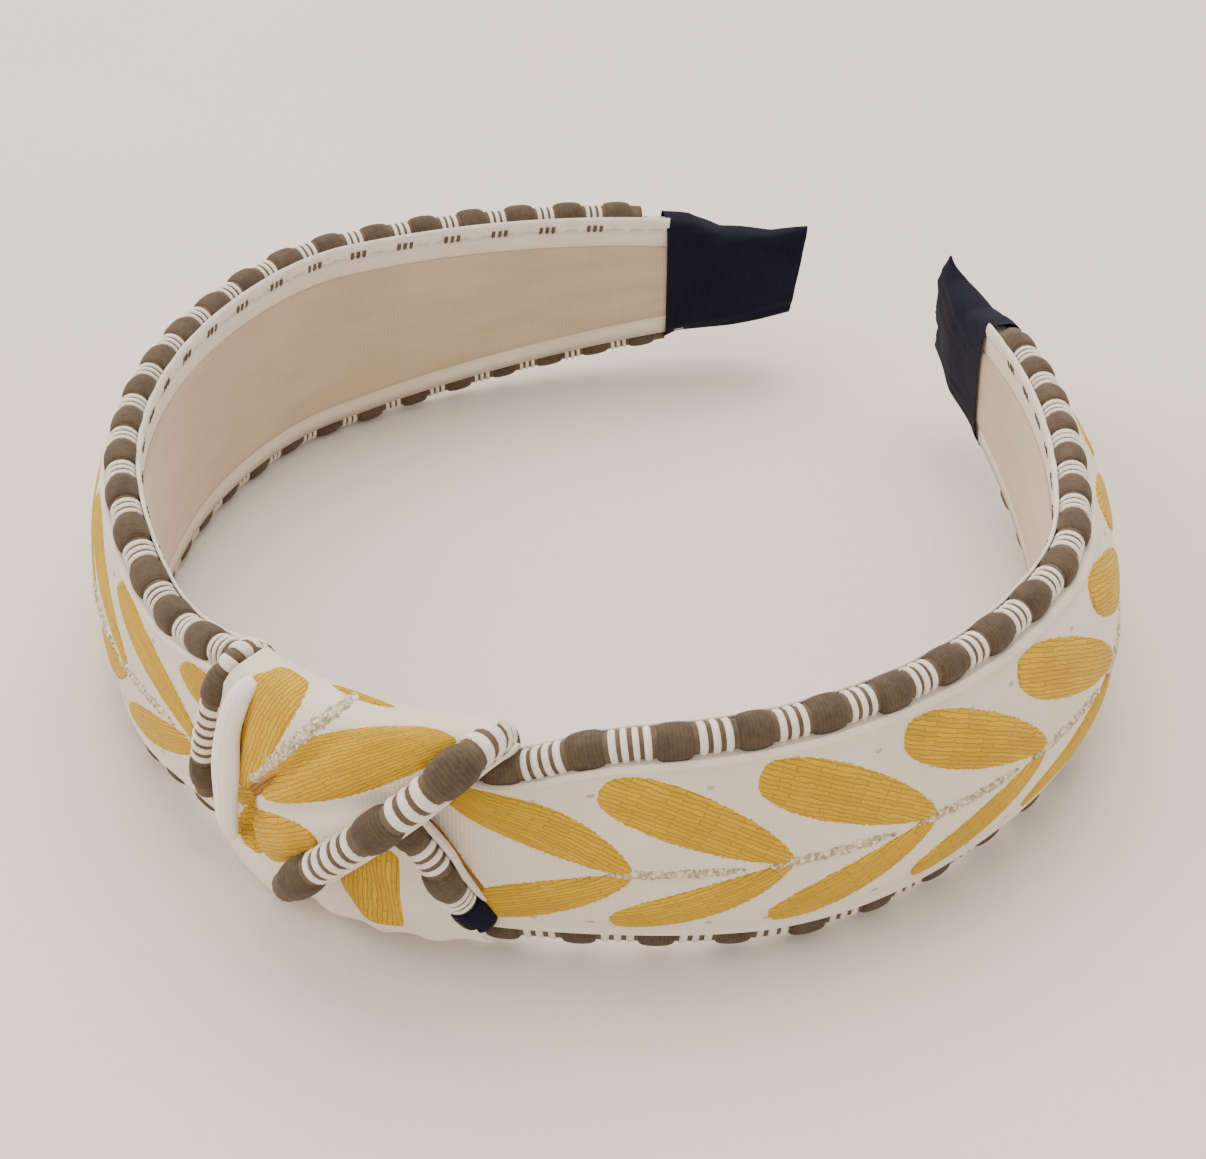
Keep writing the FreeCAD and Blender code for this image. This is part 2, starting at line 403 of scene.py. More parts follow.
def glitter_material(name):
    """Metallic thread: small facets that catch the light one by one."""
    material = new_material(name, (0.55, 0.48, 0.36), 0.42, specular=0.5, metallic=0.3)
    nodes = Nodes(material)
    cells = nodes.add("ShaderNodeTexVoronoi")
    cells.inputs["Scale"].default_value = 2600.0
    nodes.link(nodes.object_space(), cells.inputs["Vector"])
    value = nodes.add("ShaderNodeRGBToBW")
    nodes.link(cells.outputs["Color"], value.inputs["Color"])
    stops = [(0.2, (0.34, 0.26, 0.15)), (0.5, (0.55, 0.45, 0.30)), (0.85, (0.80, 0.72, 0.58))]
    nodes.colour(nodes.ramp(value.outputs["Val"], stops))
    nodes.bump(value.outputs["Val"], 0.8, 0.0004)
    return material


def yarn_material(name, light, dark, strands_per_cm, bump_strength=0.6, sheen=0.06):
    """Matte wound yarn: fine strands round the cord and soft mottling."""
    material = new_material(name, light, 0.85, sheen=sheen, specular=0.2)
    nodes = Nodes(material)
    strands = nodes.bands(nodes.cloth(), strands_per_cm, "X", distortion=3.0, detail=3.0, detail_scale=3.0)
    fuzz = nodes.noise(nodes.object_space(), 1300.0, 3.0)
    height = nodes.sum_of(strands, 0.22, fuzz, 0.9)
    drift = nodes.noise(nodes.object_space(), 260.0, 2.0)
    shade = nodes.sum_of(height, 0.45, drift, 0.5)
    nodes.colour(nodes.ramp(shade, [(0.3, dark), (0.75, light)]))
    nodes.bump(height, bump_strength, 0.00018)
    return material


def satin_material(name, light, dark):
    """Ribbon satin: faint cross ribs and a soft, broken sheen."""
    material = new_material(name, light, 0.5, sheen=0.3, specular=0.35)
    nodes = Nodes(material)
    ribs = nodes.bands(nodes.cloth(), 16.0, "X", distortion=0.4)
    drift = nodes.noise(nodes.cloth((0.6, 2.4)), 1.0, 4.0)
    shade = nodes.sum_of(ribs, 0.18, drift, 0.82)
    nodes.colour(nodes.ramp(shade, [(0.3, dark), (0.7, light)]))
    rough = nodes.math("ADD", nodes.math("MULTIPLY", drift, 0.25), 0.4)
    nodes.roughness(rough)
    nodes.bump(nodes.math("ADD", ribs, drift), 0.25, 0.0001)
    return material


def grosgrain_material(name, light, dark):
    """Ribbed navy ribbon."""
    material = new_material(name, dark, 0.8, sheen=0.02, specular=0.12)
    nodes = Nodes(material)
    ribs = nodes.bands(nodes.cloth(), 22.0, "X", distortion=0.8, detail=2.0, detail_scale=2.0)
    cross = nodes.noise(nodes.cloth((9.0, 16.0)), 1.0, 2.0)
    height = nodes.sum_of(ribs, 0.6, cross, 0.4)
    drift = nodes.noise(nodes.object_space(), 150.0, 3.0)
    shade = nodes.sum_of(height, 0.5, drift, 0.5)
    nodes.colour(nodes.ramp(shade, [(0.3, dark), (0.8, light)]))
    nodes.bump(height, 0.6, 0.0002)
    return material


def plain_material(name, light, dark, roughness, scale):
    """Moulded plastic or foam: one colour with a fine mottle."""
    material = new_material(name, light, roughness)
    nodes = Nodes(material)
    mottle = nodes.noise(nodes.object_space(), scale, 4.0)
    nodes.colour(nodes.ramp(mottle, [(0.35, dark), (0.65, light)]))
    nodes.bump(mottle, 0.3, 0.0001)
    return material


LINEN = linen_material("cream_linen", (0.80, 0.72, 0.61), (0.66, 0.57, 0.45))
FOLD_LINEN = linen_material("fold_linen", (0.90, 0.84, 0.76), (0.78, 0.70, 0.60), bump=0.35)
LEAF_YARN = satin_stitch_material("mustard_yarn", (0.72, 0.45, 0.022), (0.62, 0.36, 0.014),
                                  (0.46, 0.245, 0.009))
# Rust-brown stitch colour used as painted shade: one sliver in the knot's crease and one beside the short
# trim on the band
PAINTED_SHADE_YARN = satin_stitch_material("painted_shade_yarn", (0.44, 0.21, 0.030), (0.34, 0.14, 0.020), (0.20, 0.07, 0.010))
GLITTER = glitter_material("glitter_thread")
WHITE_YARN = yarn_material("white_yarn", (0.86, 0.80, 0.72), (0.70, 0.62, 0.52), 28.0)
BROWN_YARN = yarn_material("brown_yarn", (0.130, 0.088, 0.054), (0.056, 0.038, 0.024), 20.0)
GAP_YARN = yarn_material("gap_yarn", (0.17, 0.12, 0.075), (0.085, 0.058, 0.036), 20.0)
STITCH_YARN = yarn_material("stitch_yarn", (0.60, 0.48, 0.34), (0.46, 0.35, 0.23), 20.0)
SATIN = satin_material("beige_satin", (0.56, 0.42, 0.28), (0.46, 0.335, 0.215))
NAVY = grosgrain_material("navy_ribbon", (0.008, 0.008, 0.026), (0.003, 0.003, 0.009))
PLASTIC = plain_material("hoop_plastic", (0.78, 0.77, 0.74), (0.70, 0.69, 0.66), 0.45, 400.0)
FOAM = plain_material("padding_foam", (0.85, 0.82, 0.74), (0.70, 0.66, 0.58), 0.95, 1200.0)


# ---- riding

def half_nodes(kind, side):
    """Nodes of one layer in one half: its stretch on the crown and its stretch on the arm."""
    return f"{kind}_crown", f"{kind}_{side}_arm"


def add_piece(builder, name, material, nodes, side=None, body="crown", closed=True):
    """Make a piece that stands for some nodes and hides them; with a side its transform is baked in,
    otherwise it rides one body.
    """
    obj = builder.make(name, material)
    if closed:
        turn_outwards(obj)
    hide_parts(*nodes)
    if side is None:
        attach(obj, body)
    else:
        start, end = (tuple(place(run[side], 0, 0)) for run in (BEND_START, BEND_END))
        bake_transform(obj)
    return obj


# ---- hoop, padding, cover, lining

def ring_strip(side, inner, outer, inset):
    """Closed strip from the crown to near the tip, between two offsets and inset from the band's edges."""
    runs = half_runs(side, 0.0, TIP_RUN - 8.0, 2.0)
    half = half_height(runs) - inset
    shares = (-1, -0.33, 0.33, 1)
    corners = [(outer, share) for share in shares] + [(inner, share) for share in reversed(shares)]
    builder = Builder()
    rows = [band(runs, offset, half * share) for offset, share in corners]
    builder.grid(np.stack(rows, 1), close_columns=True, caps=True)
    return builder


def strip_rows(runs, section):
    """Points of a strip from (offset, rise) pairs at each run, its cloth map and its length across."""
    rows = np.stack([band(runs, offset, rise) for offset, rise in section], 1)
    across = lengths_along(rows[0]) / MM
    return rows, cloth_map(runs[:, None], across[None, :]), across[-1] * MM


HOOP = (-2.0, -0.6, 4.2)  # inner face, outer face and inset from the trims
PADDING = (-0.55, 1.85, 4.4)


def make_hoop(side):
    hoop = ring_strip(side, *HOOP)
    add_piece(hoop, f"hoop_{side}_half", PLASTIC, half_nodes("core", side), side)


def make_padding(side):
    padding = ring_strip(side, *PADDING)
    obj = add_piece(padding, f"padding_{side}_half", FOAM, half_nodes("foam", side), side)


COVER_CROWN = 2.7
SWELL_RUNS = (-177, -150, -60, -25, 0, 25, 60, 105, 150, 168, 178)
SWELLS = (0.0, 1.0, 1.0, 0.45, 0.3, 0.45, 1.0, 1.5, 1.7, 1.3, 0.0)
LIP_HEIGHT = 0.5
LIP_WIDTH = 0.5
COVER_TUCK = 1.1
EDGE_REACH = 2.0
EDGE_ROUND = 0.9


def cover_offset(run, share, edge_distance):
    """Outer face of the cover: softly crowned, with a rolled lip just inside the trim."""
    crown = COVER_CROWN * (1 - np.abs(share) ** 2.4)
    lip = LIP_HEIGHT * np.exp(-((edge_distance - 0.6) / LIP_WIDTH) ** 2)
    return COVER_OUTER - 0.25 + crown * crown_share(run) + lip


def crown_share(run):
    """The padding swells away from the knot, most on the right arm, and fades towards the tips."""
    return np.interp(run, SWELL_RUNS, SWELLS)


def make_cover(side):
    """Outer cloth of one half: its crowned face, round over both edges and turned in behind."""
    start = HALVES[side] * HALF_JOIN_RUN
    runs = half_runs(side, start, TRIM_END + 1.0, 1.0)
    edge = half_height(runs) - COVER_TUCK
    turned = [(COVER_INNER + 0.05, edge - depth) for depth in (3.6, 1.4, -0.4)]
    for angle in np.radians([160, 130, 90, 50, 20]):
        turned.append((EDGE_REACH * math.cos(angle), edge - 0.6 + EDGE_ROUND * math.sin(angle)))
    section = [(offset, -rise) for offset, rise in turned]
    for share in np.sin(np.linspace(-1, 1, 57) * math.pi / 2):
        section.append((cover_offset(runs, share, edge * (1 - abs(share))), edge * share))
    section += reversed(turned)
    rows, cloth, width = strip_rows(runs, section)
    builder = Builder()
    builder.grid(rows, cloth=cloth, flip=side == "right")
    nodes = half_nodes("cover", side)
    obj = add_piece(builder, f"cover_{side}_half", LINEN, nodes, side, closed=False)


LINING_MARGIN = 4.1


def make_lining(side):
    """Satin strip with folded edges, standing a little proud of the turned cover."""
    start = HALVES[side] * HALF_JOIN_RUN
    runs = half_runs(side, start, TRIM_END + 2.0, 1.5)
    edge = half_height(runs) - LINING_MARGIN
    face = COVER_INNER - 0.45
    section = []
    for share in np.linspace(-1, 1, 25):
        soft = 0.18 * (1 - abs(share) ** 6)
        section.append((face + 0.15 - soft, edge * share))
    section.append((face + 0.35, edge + 0.12))
    section.append((COVER_INNER + 0.1, edge))
    section.append((COVER_INNER + 0.1, -edge))
    section.append((face + 0.35, -edge - 0.12))
    rows, cloth, _ = strip_rows(runs, section)
    builder = Builder()
    builder.grid(rows, close_columns=True, caps=True, cloth=cloth)
    obj = add_piece(builder, f"lining_{side}_half", SATIN, half_nodes("lining", side), side)


# ---- trims

RING_PITCH = 1.35
RING_RADIUS = 2.15
MAP_RADIUS = 2.2
GAP_RADIUS = 1.9
BEAD_RADIUS = 2.45
BEAD_LENGTH = 5.0
TAPE_RADIUS = 2.7
TAPE_THICKNESS = 0.4
TAPE_STOP = 2.2


class Path:
    """A curve, from points in metres, with an outward and an upward direction along it."""

    def __init__(self, points, outward_at):
        self.points = points
        self.distances = lengths_along(points) / MM
        tangent = unit(np.gradient(points, axis=0))
        across = outward_at - (outward_at * tangent).sum(-1)[..., None] * tangent
        self.out = unit(across)
        self.up = np.cross(self.out, tangent)
        if self.up[:, 2].sum() < 0:
            self.up = -self.up
        self.length = self.distances[-1]

    def pick(self, values, distance):
        return np.stack([np.interp(distance, self.distances, values[:, k]) for k in range(3)], -1)

    def at(self, distance, out, up):
        """Points at distances along the curve, moved outwards and upwards by so many millimetres."""
        distance, out, up = np.broadcast_arrays(distance, out, up)
        outwards = out[..., None] * unit(self.pick(self.out, distance))
        upwards = up[..., None] * unit(self.pick(self.up, distance))
        return self.pick(self.points, distance) + MM * (outwards + upwards)


def band_path(side, level, start, end):
    """Path of a trim along one edge of the band; level is 1 for the top and -1 for the bottom."""
    runs = half_runs(side, start, end, 0.5)
    rises = level * half_height(runs)
    points = band(runs, 0.0, rises)
    outward_at = band(runs, 1.0, rises) - points
    return Path(points, outward_at)


def round_section(builder, path, distances, radii, columns=18, lift=(0.0, 0.0)):
    """Add a round closed piece to the builder, with a radius at each distance along the path."""
    distances = np.asarray(distances, float)[:, None]
    radii = np.asarray(radii, float)[:, None]
    angles = np.linspace(0, 2 * math.pi, columns, endpoint=False)[None, :]
    points = path.at(distances, radii * np.cos(angles) + lift[0], radii * np.sin(angles) + lift[1])
    builder.grid(points, close_columns=True, caps=True, cloth=cloth_map(distances, angles * MAP_RADIUS))


def bead_shape(centre, length, radius):
    """Distances and radii of a barrel with soft ends."""
    share = np.sin(np.linspace(-1, 1, 15) * math.pi / 2)
    ends = np.sqrt(np.clip(1.0 - np.abs(share) ** 12, 0.3, 1))
    return centre + share * length / 2, radius * (1 - 0.17 * np.abs(share) ** 2.4) * ends


def ring_shape(centre, width):
    """Distances and radii of a narrow ring with rounded edges."""
    share = np.array([-1.0, -0.86, -0.45, 0.0, 0.45, 0.86, 1.0])
    radii = RING_RADIUS * np.array([0.8, 0.92, 0.985, 1.0, 0.985, 0.92, 0.8])
    return centre + share * width / 2, radii


def rings_between(first, second, bead_length, pitch=RING_PITCH):
    """Centres and width of the white rings that fill the space between two beads."""
    start = first + bead_length / 2
    space = second - first - bead_length
    count = max(3, int(round(space / pitch)))
    return [start + space * (k + 0.5) / count for k in range(count)], 0.66 * space / count


def trim_pieces(name, path, centres, bead_length, nodes, side=None, scale=1.0, pitch=RING_PITCH):
    """Cord, white rings and beads of one trim."""
    rng = np.random.default_rng(len(name) * 7 + len(centres))
    cord = Builder()
    spots = np.linspace(max(centres[0] - 4, 0.2), min(centres[-1] + 4, path.length - 0.2), 140)
    round_section(cord, path, spots, np.full(len(spots), GAP_RADIUS * scale), 14)
    rings = Builder()
    beads = Builder()
    for first, second in zip(centres, centres[1:]):
        middles, width = rings_between(first, second, bead_length, pitch)
        for middle in middles:
            spots, radii = ring_shape(middle, width * rng.uniform(0.9, 1.08))
            round_section(rings, path, spots, radii * scale * rng.uniform(0.98, 1.02), 20)
    for centre in centres:
        spots, radii = bead_shape(centre, bead_length * rng.uniform(0.95, 1.05), BEAD_RADIUS * scale)
        lift = rng.uniform(-0.12, 0.12, 2)
        round_section(beads, path, spots, radii, 22, lift)
    add_piece(cord, f"{name}_cord", GAP_YARN, nodes, side)
    add_piece(rings, f"{name}_rings", WHITE_YARN, nodes, side)
    add_piece(beads, f"{name}_beads", BROWN_YARN, nodes, side)


def arc_strip(path, distances, angles, radius, thickness):
    """Thin closed strip that goes part of the way round a path."""
    inside = radius - thickness
    outer = path.at(distances, radius * np.cos(angles), radius * np.sin(angles))
    inner = path.at(distances, inside * np.cos(angles), inside * np.sin(angles))
    builder = Builder()
    builder.grid(np.concatenate([outer, inner[:, ::-1]], 1), close_columns=True, caps=True)
    return builder


RIGHT_BEADS = [28.3] + [39 + 8.7 * k + 4 * (1 - math.exp(-k / 1.8)) for k in range(17)]
LEFT_BEADS = [8.6] + [16.8 + 8.17 * k for k in range(21)]
RIGHT_LOWER_BEADS = [27.5 + 9.6 * k for k in range(17)]
LEFT_LOWER_BEADS = [17.5 + 8.05 * k for k in range(21)]
TRIM_STARTS = {("left", 1): 6.0, ("left", -1): 6.0, ("right", 1): 18.0, ("right", -1): 24.5}
TAPE_ANGLES = {1: (152, 268), -1: (84, 156)}
DASH_ANGLES = {1: 200, -1: 128}
DASH_HALF_TURN = 0.336


def make_band_trim(side, level, beads):
    """Trim on the top (level 1) or bottom (level -1) edge of one half, with its dashed tape."""
    start = TRIM_STARTS[side, level]
    path = band_path(side, level, start, TRIM_END + 0.4)
    centres = [bead - start for bead in beads if bead < TRIM_END - 2.0]
    height = "upper" if level > 0 else "lower"
    name = f"{height}_trim_{side}"
    nodes = (f"{height}_trim_crown_{side}", f"{height}_trim_{side}_arm")
    trim_pieces(name, path, centres, BEAD_LENGTH, nodes, side)

    distances = np.linspace(0.3, path.length - TAPE_STOP, 330)[:, None]
    angles = np.radians(np.linspace(*TAPE_ANGLES[level], 9))[None, :]
    wobble = 0.1 * np.sin(distances * 1.7) + 0.06 * np.sin(distances * 3.9 + 1)
    radius = TAPE_RADIUS + wobble * np.sin((angles - angles.min()) * 1.2)
    tape = arc_strip(path, distances, angles, radius, TAPE_THICKNESS)
    add_piece(tape, f"{name}_tape", WHITE_YARN, nodes, side)

    dashes = Builder()
    turn = math.radians(DASH_ANGLES[level]) + np.linspace(-DASH_HALF_TURN, DASH_HALF_TURN, 5)[None, :]
    reach = TAPE_RADIUS - 0.06 + np.array([0.05, 0.2, 0.24, 0.2, 0.05])[:, None]
    for first, second in zip(centres, centres[1:]):
        middles, _ = rings_between(first, second, BEAD_LENGTH)
        for middle in middles:
            spots = middle + np.array([-0.34, -0.25, 0.0, 0.25, 0.34])[:, None]
            dashes.grid(path.at(spots, reach * np.cos(turn), reach * np.sin(turn)))
    add_piece(dashes, f"{name}_dashes", GAP_YARN, nodes, side, closed=False)


# ---- leaves and stem on the band

LEAF_PITCH = 18.3
LEAF_END = TRIM_END - 3.0
RIGHT_FIRST_VERTEX = 43.3
LEFT_FIRST_VERTEX = 3.6
VERTEX_RISE = -0.9
UPPER_SPINE = ((0.0, -0.9), (-9.5, 6.6), (-22.3, 11.8))
LOWER_SPINE = ((0.0, -0.9), (-9.5, -6.8), (-21.0, -10.9))
UPPER_WIDTH = 3.9
LOWER_WIDTH = 3.45
LEAF_THICKNESS = 0.42
STITCH = 0.9
LEAF_POWERS = (0.72, 0.4)


def bezier(points, t):
    a, b, c = (np.asarray(p, float) for p in points)
    t = np.asarray(t)[:, None]
    return a * (1 - t) ** 2 + 2 * b * t * (1 - t) + c * t**2


def leaf_grid(spine, half_width, surface, rng, thickness=LEAF_THICKNESS, powers=LEAF_POWERS):
    """Stitched leaf over a surface: pointed at its base and blunt at its tip, with ragged edges."""
    rows, columns = 72, 15
    t = np.linspace(0, 1, rows)
    centre = bezier(spine, t)
    direction = unit(np.gradient(centre, axis=0))
    normal = np.stack([-direction[:, 1], direction[:, 0]], 1)
    base_power, tip_power = powers
    fullest = base_power / (base_power + tip_power)
    width = half_width * (t / fullest) ** base_power * ((1 - t) / (1 - fullest)) ** tip_power
    length = lengths_along(centre)
    ragged = 0.07 * np.sin(2 * math.pi * length / STITCH)
    share = np.linspace(-1, 1, columns)
    sides = np.where(share < 0, -1, 1)[None, :]
    uneven = rng.uniform(-0.09, 0.09, (rows, 1)) * (np.abs(share[None, :]) > 0.8)
    narrow = np.minimum(width, 1)
    across = (width + narrow * ragged)[:, None] * share[None, :] + uneven * narrow[:, None] * sides
    spot = centre[:, None, :] + across[..., None] * normal[:, None, :]
    height = thickness * (1 - np.abs(share[None, :]) ** 4) * np.minimum(1, width / 1.2)[:, None] - 0.08
    points = surface(spot[..., 0], spot[..., 1], height)
    return points, cloth_map(length[:, None] + rng.uniform(0, 50), across + rng.uniform(0, 50))


def cover_surface(run, rise, height):
    edge = half_height(run) - COVER_TUCK
    share = np.clip(rise / edge, -1, 1)
    return band(run, cover_offset(run, share, edge - np.abs(rise)) + height, rise)


def vertices_of(side):
    first = RIGHT_FIRST_VERTEX if side == "right" else LEFT_FIRST_VERTEX
    count = 9 if side == "right" else 11
    return [first + HALVES[side] * LEAF_PITCH * k for k in range(count)]


def make_leaves(side):
    rng = np.random.default_rng(5 if side == "right" else 11)
    builder = Builder()
    for vertex in vertices_of(side):
        for spine, width in ((UPPER_SPINE, UPPER_WIDTH), (LOWER_SPINE, LOWER_WIDTH)):
            middle_run = vertex + spine[1][0]
            scale = float(half_height(middle_run)) / HALF_HEIGHT
            moved = [(np.clip(vertex + run, -LEAF_END, LEAF_END), rise * scale) for run, rise in spine]
            if abs(moved[0][0] - moved[2][0]) < 8:
                continue
            jitter = rng.uniform(0.94, 1.06)
            points, cloth = leaf_grid(moved, width * scale * jitter, cover_surface, rng)
            builder.grid(points, cloth=cloth, flip=side == "right")
    nodes = half_nodes("cover", side)
    add_piece(builder, f"leaves_{side}_half", LEAF_YARN, nodes, side, closed=False)


def make_stem(side):
    """Glitter stem along the middle, with one stretch from each leaf pair towards the next."""
    builder = Builder()
    rng = np.random.default_rng(3)
    for vertex in vertices_of(side):
        runs = np.linspace(vertex - 3.0, min(vertex + 12.5, LEAF_END), 40)
        if side == "left":
            runs = np.clip(runs, -LEAF_END, -3.0)
        if np.ptp(runs) < 3:
            continue
        share = np.linspace(0, 1, 40)
        width = 0.75 * np.minimum(1, 4.5 * np.minimum(share + 0.05, 1.03 - share))
        width += rng.uniform(-0.08, 0.08, 40)
        across = np.linspace(-1, 1, 7)
        rise = VERTEX_RISE + width[:, None] * across[None, :] + 0.12 * np.sin(runs * 2.2)[:, None]
        height = 0.5 * (1 - across[None, :] ** 2) + 0.12 * np.sin(runs * 6.0)[:, None] - 0.05
        builder.grid(cover_surface(runs[:, None], rise, height), flip=True)
    nodes = half_nodes("cover", side)
    add_piece(builder, f"stem_{side}_half", GLITTER, nodes, side, closed=False)


def make_stitches(side):
    """Small needle stitches a few millimetres inside both trims."""
    builder = Builder()
    for level in (-1, 1):
        for run in np.arange(18 if side == "right" else 12, TRIM_END - 4, 6.8):
            spot = HALVES[side] * run
            rise = level * (float(half_height(spot)) - 4.6)
            runs = spot + np.linspace(-0.5, 0.5, 5)
            across = np.linspace(-0.22, 0.22, 3)
            height = np.array([-0.05, 0.1, 0.14, 0.1, -0.05])[:, None] * np.array([0.3, 1, 0.3])[None, :]
            builder.grid(cover_surface(runs[:, None], rise + across[None, :], height))
    nodes = half_nodes("cover", side)
    add_piece(builder, f"stitches_{side}_half", STITCH_YARN, nodes, side, closed=False)


# ---- ribbon tips

TIP_STARTS = {"left": 179.2, "right": 179.5}
SLEEVE_REACH = 3.6
PINCHED_REACH = 0.75
# Top and bottom edges, as (shares of the ribbon's length, rises), then the end's slant and its corner's lift
TIP_SHAPES = {
    "left": (((0, 0.18, 0.4, 0.75, 1), (11.2, 10.4, 7.8, 6.8, 7.6)),
             ((0, 0.1, 0.5, 1), (-11.4, -10.4, -9.9, -8.4)), 1.2, 0.9),
    "right": (((0, 0.18, 0.4, 0.8, 1), (11.4, 10.4, 8.8, 8.6, 10.4)),
              ((0, 0.1, 0.5, 1), (-11.2, -10.0, -8.8, -6.6)), 0.6, 1.6),
}
FRAY_RISES = (-1.5, -4.8)


def make_tip(side):
    """Ribbon folded round the arm's end: a sleeve that flattens into a pinched, slanted edge."""
    start = TIP_STARTS[side]
    top_shape, bottom_shape, slant_size, corner_lift = TIP_SHAPES[side]
    shares = np.linspace(0, 1, 34)
    angles = np.linspace(0, 2 * math.pi, 56, endpoint=False)
    cosine, sine = np.cos(angles), np.sin(angles)
    rows = []
    for share in shares:
        flat = max(0.0, (share - 0.5) / 0.5) ** 1.4
        top = np.interp(share, *top_shape)
        bottom = np.interp(share, *bottom_shape)
        middle, half = (top + bottom) / 2, (top - bottom) / 2
        reach = SLEEVE_REACH * (1 - flat) + PINCHED_REACH * flat
        offset = reach * np.sign(cosine) * np.abs(cosine) ** 0.5
        rise = middle + half * np.sign(sine) * np.abs(sine) ** 0.55
        crease = 0.22 * np.sin(rise * 1.1 + share * 7) * share + 0.12 * np.sin(rise * 2.7 - share * 9)
        slant = slant_size * share * (rise - middle) / 8.0
        run = start + (TIP_RUN - start) * share + slant
        lift = corner_lift * np.maximum(0, (rise - middle) / half) ** 3 * share**3
        rows.append(place(HALVES[side] * run, offset + crease * np.sign(cosine) + lift, rise))
    points = np.stack(rows)
    length = TIP_RUN - start
    cloth = cloth_map((shares * length)[:, None], angles[None, :] * 6)
    builder = Builder()
    builder.grid(points, close_columns=True, caps="end", cloth=cloth)
    nodes = (f"tip_cover_{side}",)
    obj = add_piece(builder, f"tip_cover_{side}_ribbon", NAVY, nodes, body=f"{side}_arm")


def make_frays(side):
    """Loose threads at the ribbon's cut edge."""
    rng = np.random.default_rng(4)
    builder = Builder()
    for rise in FRAY_RISES:
        for _ in range(3):
            length = rng.uniform(1.2, 2.6)
            t = np.linspace(0, 1, 8)
            run = HALVES[side] * (TIP_RUN - 1.0 + length * t)
            line = place(run, rng.uniform(-0.4, 0.4) + rng.uniform(-0.9, 0.9) * t**2,
                         rise + rng.uniform(-0.5, 0.5) + rng.uniform(-1.2, 1.2) * t**2)
            path = Path(line, np.tile([0.0, 0.0, 1.0], (8, 1)))
            round_section(builder, path, path.distances, np.linspace(0.16, 0.07, 8), 6)
    add_piece(builder, f"tip_threads_{side}", NAVY, (f"tip_cover_{side}",), body=f"{side}_arm")


# ---- the knot

KNOT_Z = 18.6
KNOT_HALF = 17.9
KNOT_BACK = -3.8
KNOT_SQUARENESS = 0.6
# How far the wrapped layer's front stands out, at runs across the knot
KNOT_FRONT = ((-14, -8, -3, 4, 12, 20, 26, 30), (3.8, 5.8, 7.8, 9.2, 9.4, 8.3, 6.4, 4.6))
PINCH = (-6.8, 14.2)
# Folds that fan out from the pinch: direction in degrees, width and depth in millimetres
CREASES = ((50.0, 0.9, 1.7), (31.0, 1.3, 1.1), (76.0, 1.2, 0.9), (-34.0, 1.2, 1.0))
# Edges of the wrapped layer: run at each angle round the band (0 is the front, 90 the top, 180 the back)
EDGE_ANGLES = (-85, -64, -47, -26, -6, 17, 36, 57, 78, 90, 110, 180, 240, 275)
LEFT_EDGE = (-11.4, -11.6, -11.9, -11.8, -11.0, -9.9, -8.8, -7.2, -5.6, -5.2, -5.6, -8.0, -10.4, -11.4)
RIGHT_EDGE = (-3.2, -0.8, 1.8, 4.6, 9.0, 15.0, 19.5, 23.6, 26.4, 27.6, 27.0, 18.0, 3.0, -3.2)


def soft_interp(x, xs, ys, reach):
    """Straight-line interpolation with its corners rounded over a reach on each side."""
    beside = np.interp(x - reach, xs, ys) + np.interp(x + reach, xs, ys)
    return 0.5 * np.interp(x, xs, ys) + 0.25 * beside


def knot_point(run, angle, height=0.0):
    """Point on the wrapped layer at a run and an angle round the band, raised by a height."""
    run, angle, height = np.broadcast_arrays(run, angle, height)
    radians = np.radians(angle)
    front = soft_interp(run, *KNOT_FRONT, 2)
    centre, reach = (front + KNOT_BACK) / 2, (front - KNOT_BACK) / 2
    cosine, sine = np.cos(radians), np.sin(radians)
    z = KNOT_Z + KNOT_HALF * sine
    on_front = np.clip(cosine * 1.6, 0, 1)
    turn = np.arctan2(z - PINCH[1], run - PINCH[0])
    away = np.hypot(z - PINCH[1], run - PINCH[0])
    creases = np.zeros_like(turn)
    for where, width, depth in CREASES:
        creases -= depth * np.exp(-(((turn - math.radians(where)) * np.maximum(away, 3)) / width) ** 2)
    creases *= np.exp(-np.maximum(away - 16, 0) / 12)
    pucker = 0.16 * np.sin(turn * 15 + 1) * np.exp(-away / 14)
    dimple = -3.2 * np.exp(-(away / 4.2) ** 2)
    ripple = (creases + pucker + dimple) * on_front + height
    offset = centre + (reach + ripple) * np.sign(cosine) * np.abs(cosine) ** KNOT_SQUARENESS
    z = z + (ripple * 0.6) * np.sign(sine) * np.abs(sine) ** 3 * (sine > 0)
    return place(run, offset, z - MID_HEIGHT)


def make_wrap():
    """Cloth wrapped once round the band, from under the front, over the top and down the back."""
    angles = np.linspace(EDGE_ANGLES[0], EDGE_ANGLES[-1], 150)
    left = soft_interp(angles, EDGE_ANGLES, LEFT_EDGE, 6)
    right = soft_interp(angles, EDGE_ANGLES, RIGHT_EDGE, 6)
    share = np.linspace(0, 1, 70)[None, :]
    runs = left[:, None] * (1 - share) + right[:, None] * share
    points = knot_point(runs, angles[:, None])
    around = lengths_along(points[:, 35]) / MM
    builder = Builder()
    builder.grid(points, cloth=cloth_map(runs, around[:, None]))
    obj = add_piece(builder, "knot_wrap_cloth", LINEN, ("knot_wrap",), closed=False)


def knot_leaf(builder, spine, width, rng, powers, thickness=0.5):
    """Leaf on the wrapped layer; the spine gives runs and angles, the angle in units of a millimetre."""
    def surface(run, height_on_front, height):
        return knot_point(run, height_on_front * ANGLE_PER_MM, height)

    points, cloth = leaf_grid(spine, width, surface, rng, thickness, powers)
    builder.grid(points, cloth=cloth, flip=True)


